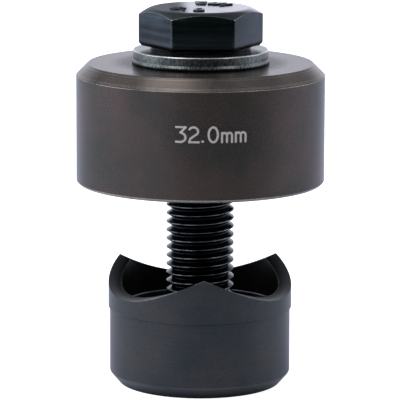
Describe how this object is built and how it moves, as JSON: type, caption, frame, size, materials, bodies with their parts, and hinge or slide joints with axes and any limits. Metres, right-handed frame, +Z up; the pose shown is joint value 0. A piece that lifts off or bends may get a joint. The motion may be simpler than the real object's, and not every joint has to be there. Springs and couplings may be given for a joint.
{
  "type": "sheet metal hole punch",
  "caption": "Screw-drawn knockout punch for round holes in sheet metal: hex-head screw, washer, chamfered die cup and a threaded punch with three cutting points.",
  "frame": {"origin": "centre of the punch's lower face, on the screw's axis", "axes": "+Z up along the screw towards its head, -Y towards the front, where one cutting point and one flat of the head face"},
  "size_m": [0.043, 0.043, 0.0662],
  "materials": {
    "screw_steel": "glossy blackened steel",
    "washer_steel": "plain plated steel, rough stamped side, smooth faces",
    "die_steel": "turned and browned steel, satin, fine turning marks",
    "punch_steel": "turned and blackened steel, satin, fine turning marks"
  },
  "bodies": {
    "die": {"die": "die_steel"},
    "screw": {"draw_screw": "screw_steel"},
    "washer": {"washer": "washer_steel"},
    "punch": {"punch": "punch_steel"}
  },
  "joints": [
    {"name": "screw_turn", "type": "hinge", "parent": "die", "child": "screw", "pos_m": [0, 0, 0.05865], "axis": [0, 0, -1], "range_deg": [0, 6480]},
    {"name": "punch_travel", "type": "slide", "parent": "die", "child": "punch", "axis": [0, 0, 1], "range_m": [0, 0.027]},
    {"name": "washer_turn", "type": "hinge", "parent": "die", "child": "washer", "pos_m": [0, 0, 0.05625], "axis": [0, 0, -1], "continuous": true}
  ],
  "couplings": [
    {"joint": "screw_turn", "follows": "punch_travel", "rad_per_m": 4188.8}
  ]
}
